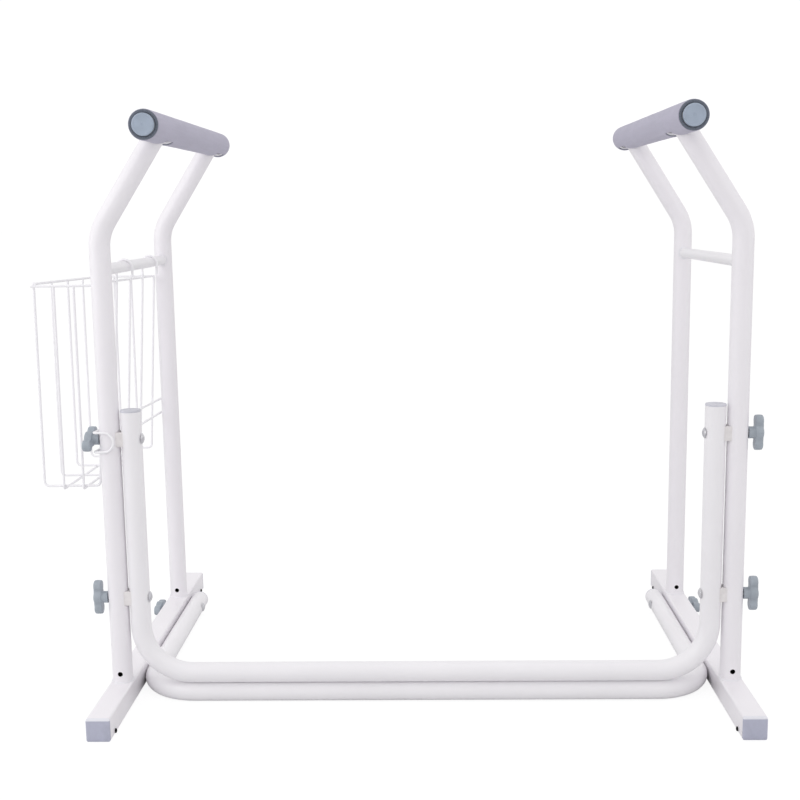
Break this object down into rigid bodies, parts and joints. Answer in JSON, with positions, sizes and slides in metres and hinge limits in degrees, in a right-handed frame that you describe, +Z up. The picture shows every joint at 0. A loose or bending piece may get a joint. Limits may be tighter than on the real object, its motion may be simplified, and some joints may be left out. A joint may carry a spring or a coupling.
{
  "type": "toilet safety frame",
  "caption": "Free-standing toilet safety frame: two side frames with foam-covered hand rails, joined by bolted cross frames at the floor, with a wire magazine basket hung on the left side.",
  "frame": {"origin": "on the floor, below the centre of the overall bounding box (within 2 mm); the frame's own middle plane is at X = 0.030 m because the basket makes the left side wider", "axes": "+Z up, -Y the side with the two floor bars, +X the right-hand side frame"},
  "size_m": [0.7893, 0.5, 0.6444],
  "materials": {
    "white_powder_coat": "smooth semi-gloss powder coat",
    "grey_foam": "matte closed-cell foam",
    "grip_plug_plastic": "moulded",
    "foot_plug_plastic": "moulded",
    "pale_plug_plastic": "moulded",
    "spacer_plastic": "moulded",
    "knob_plastic": "moulded, fine grain",
    "zinc_bolt": "zinc plated",
    "black_screw": "black oxide",
    "brass_nut": "machined"
  },
  "bodies": {
    "frame": {"foot_rail_left": "white_powder_coat", "foot_rail_right": "white_powder_coat", "front_upright_left": "white_powder_coat", "front_upright_right": "white_powder_coat", "rear_upright_left": "white_powder_coat", "rear_upright_right": "white_powder_coat", "side_crossbar_left": "white_powder_coat", "side_crossbar_right": "white_powder_coat", "handle_tube_left": "white_powder_coat", "handle_tube_right": "white_powder_coat", "handle_grip_left": "grey_foam", "handle_grip_right": "grey_foam", "handle_plug_front_left": "grip_plug_plastic", "handle_plug_rear_left": "grip_plug_plastic", "handle_plug_front_right": "grip_plug_plastic", "handle_plug_rear_right": "grip_plug_plastic", "foot_plug_front_left": "foot_plug_plastic", "foot_plug_rear_left": "foot_plug_plastic", "foot_plug_front_right": "foot_plug_plastic", "foot_plug_rear_right": "foot_plug_plastic", "foot_plug_screws": "black_screw", "upper_cross_frame": "white_powder_coat", "upper_frame_plugs": "pale_plug_plastic", "lower_cross_frame": "white_powder_coat", "lower_frame_plugs": "pale_plug_plastic", "leg_spacers": "spacer_plastic", "upper_frame_bolts": "zinc_bolt", "rail_bolts": "zinc_bolt", "basket_retainer": "white_powder_coat"},
    "basket": {"basket_rim": "white_powder_coat", "basket_front_wire": "white_powder_coat", "basket_loops": "white_powder_coat", "basket_hanger_loops": "white_powder_coat", "basket_floor_wires": "white_powder_coat"},
    "knob_post_top_left": {"knob_post_top_left": "knob_plastic", "nut_post_top_left": "brass_nut"},
    "knob_post_bottom_left": {"knob_post_bottom_left": "knob_plastic", "nut_post_bottom_left": "brass_nut"},
    "knob_rail_front_left": {"knob_rail_front_left": "knob_plastic", "nut_rail_front_left": "brass_nut"},
    "knob_rail_rear_left": {"knob_rail_rear_left": "knob_plastic", "nut_rail_rear_left": "brass_nut"},
    "knob_post_top_right": {"knob_post_top_right": "knob_plastic", "nut_post_top_right": "brass_nut"},
    "knob_post_bottom_right": {"knob_post_bottom_right": "knob_plastic", "nut_post_bottom_right": "brass_nut"},
    "knob_rail_front_right": {"knob_rail_front_right": "knob_plastic", "nut_rail_front_right": "brass_nut"},
    "knob_rail_rear_right": {"knob_rail_rear_right": "knob_plastic", "nut_rail_rear_right": "brass_nut"}
  },
  "joints": [
    {"name": "basket_lift", "type": "slide", "parent": "frame", "child": "basket", "axis": [0, 0, 1], "range_m": [0, 0.04]},
    {"name": "turn_post_top_left", "type": "hinge", "parent": "frame", "child": "knob_post_top_left", "pos_m": [-0.3241, -0.146, 0.2995], "axis": [-1, 0, 0], "range_deg": [0, 1080]},
    {"name": "turn_post_bottom_left", "type": "hinge", "parent": "frame", "child": "knob_post_bottom_left", "pos_m": [-0.3241, -0.146, 0.1215], "axis": [-1, 0, 0], "range_deg": [0, 1080]},
    {"name": "turn_rail_front_left", "type": "hinge", "parent": "frame", "child": "knob_rail_front_left", "pos_m": [-0.3255, -0.061, 0.0125], "axis": [-1, 0, 0], "range_deg": [0, 1080]},
    {"name": "turn_rail_rear_left", "type": "hinge", "parent": "frame", "child": "knob_rail_rear_left", "pos_m": [-0.3255, 0.133, 0.0125], "axis": [-1, 0, 0], "range_deg": [0, 1080]},
    {"name": "turn_post_top_right", "type": "hinge", "parent": "frame", "child": "knob_post_top_right", "pos_m": [0.3841, -0.146, 0.2995], "axis": [1, 0, 0], "range_deg": [0, 1080]},
    {"name": "turn_post_bottom_right", "type": "hinge", "parent": "frame", "child": "knob_post_bottom_right", "pos_m": [0.3841, -0.146, 0.1215], "axis": [1, 0, 0], "range_deg": [0, 1080]},
    {"name": "turn_rail_front_right", "type": "hinge", "parent": "frame", "child": "knob_rail_front_right", "pos_m": [0.3855, -0.061, 0.0125], "axis": [1, 0, 0], "range_deg": [0, 1080]},
    {"name": "turn_rail_rear_right", "type": "hinge", "parent": "frame", "child": "knob_rail_rear_right", "pos_m": [0.3855, 0.133, 0.0125], "axis": [1, 0, 0], "range_deg": [0, 1080]}
  ]
}
